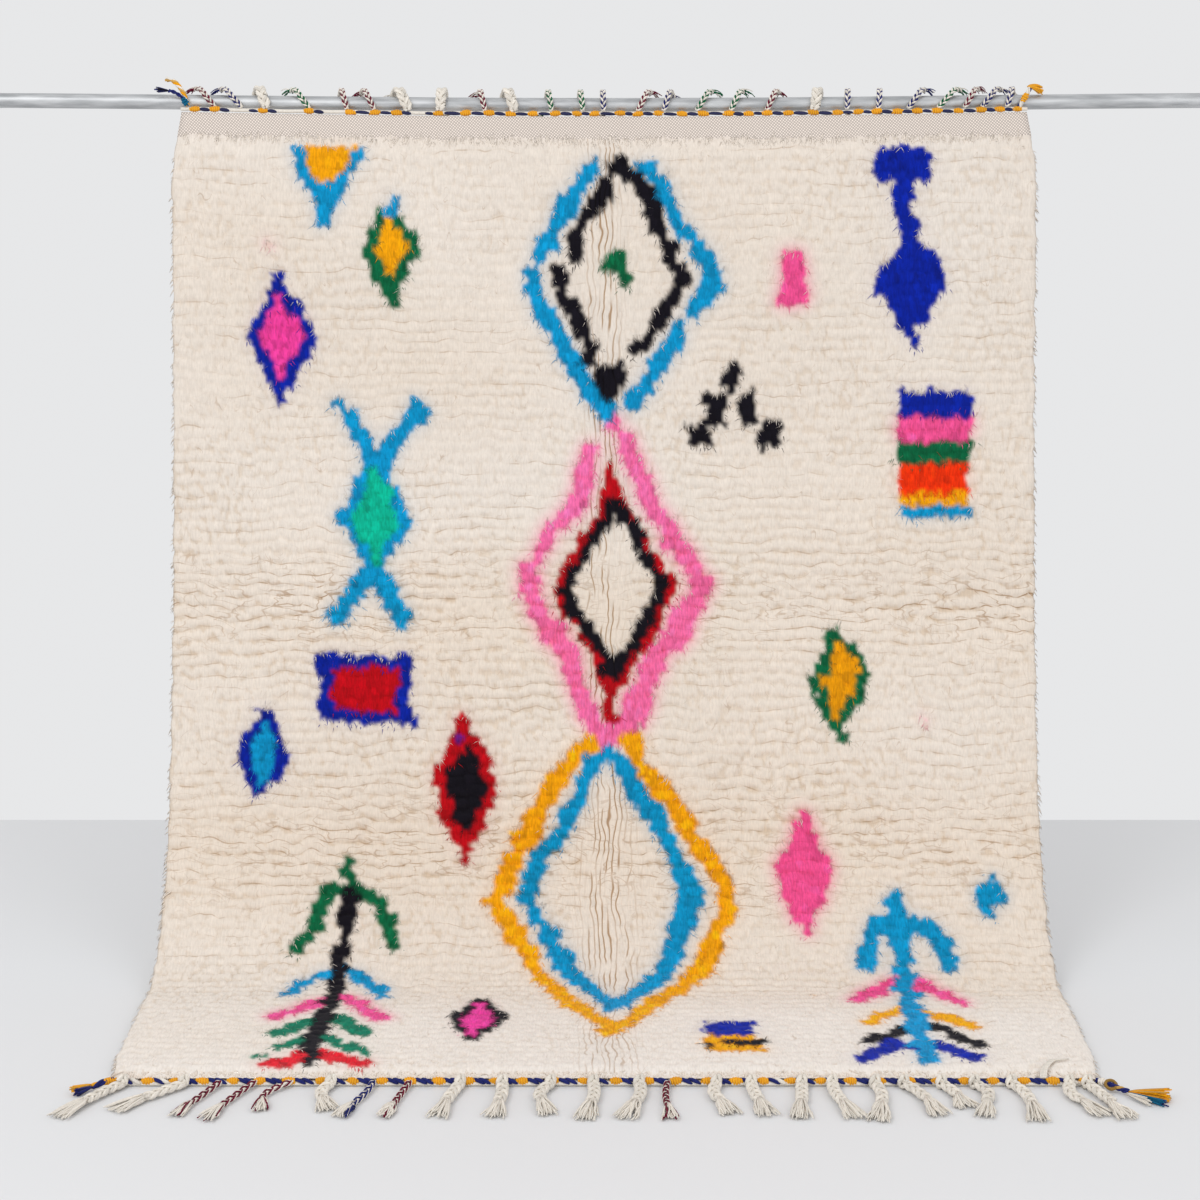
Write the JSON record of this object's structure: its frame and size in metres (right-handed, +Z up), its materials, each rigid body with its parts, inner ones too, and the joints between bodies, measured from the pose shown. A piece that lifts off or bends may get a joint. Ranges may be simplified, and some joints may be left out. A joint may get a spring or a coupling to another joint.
{
  "type": "beni ourain rug and hanging rod",
  "caption": "Hand-knotted shaggy wool rug with scattered lozenge and tree motifs, hung from a metal rod by plaited warp ends, its lower end curving forward over the floor.",
  "frame": {"origin": "midway along the rod, on the straight line between its two supports", "axes": "+X along the rod to the viewer's right, -Y out of the pile side towards the viewer, +Z up"},
  "size_m": [2.4, 1.0718, 1.5782],
  "materials": {
    "rod_metal": "dull galvanised pipe with faint spiral streaks",
    "wool_pile": "ivory knotted wool pile with coloured motifs on a woven ground",
    "edge_cord": "twined yellow and navy yarn over a white cord",
    "plait_white": "plaited undyed wool",
    "plait_green": "plait of green and white yarn",
    "plait_navy": "plait of navy and white yarn",
    "plait_burgundy": "plait of burgundy and white yarn",
    "corner_yarn": "loose ends of the yellow and navy edge yarn"
  },
  "bodies": {
    "root": {"rod": "rod_metal", "rug": "wool_pile", "binding_top": "edge_cord", "binding_floor": "edge_cord", "rod_plait_01": "plait_burgundy", "rod_plait_02": "plait_navy", "rod_plait_03": "plait_white", "rod_plait_04": "plait_green", "rod_plait_05": "plait_burgundy", "rod_plait_06": "plait_burgundy", "rod_plait_07": "plait_white", "rod_plait_08": "plait_white", "rod_plait_09": "plait_burgundy", "rod_plait_10": "plait_white", "rod_plait_11": "plait_green", "rod_plait_12": "plait_green", "rod_plait_13": "plait_navy", "rod_plait_14": "plait_burgundy", "rod_plait_15": "plait_navy", "rod_plait_16": "plait_green", "rod_plait_17": "plait_green", "rod_plait_18": "plait_burgundy", "rod_plait_19": "plait_white", "rod_plait_20": "plait_navy", "rod_plait_21": "plait_navy", "rod_plait_22": "plait_navy", "rod_plait_23": "plait_green", "rod_plait_24": "plait_burgundy", "rod_plait_25": "plait_navy", "rod_plait_26": "plait_navy", "floor_plait_01": "plait_white", "floor_plait_02": "plait_white", "floor_plait_03": "plait_burgundy", "floor_plait_04": "plait_burgundy", "floor_plait_05": "plait_burgundy", "floor_plait_06": "plait_white", "floor_plait_07": "plait_navy", "floor_plait_08": "plait_burgundy", "floor_plait_09": "plait_white", "floor_plait_10": "plait_white", "floor_plait_11": "plait_white", "floor_plait_12": "plait_white", "floor_plait_13": "plait_white", "floor_plait_14": "plait_burgundy", "floor_plait_15": "plait_white", "floor_plait_16": "plait_white", "floor_plait_17": "plait_white", "floor_plait_18": "plait_white", "floor_plait_19": "plait_white", "floor_plait_20": "plait_white", "floor_plait_21": "plait_white", "floor_plait_22": "plait_white", "floor_plait_23": "plait_white", "floor_plait_24": "plait_white", "floor_plait_25": "plait_white", "corner_tail_top_left": "corner_yarn", "corner_tail_top_right": "corner_yarn", "corner_tail_floor_left": "corner_yarn", "corner_tail_floor_right": "corner_yarn"}
  },
  "joints": []
}
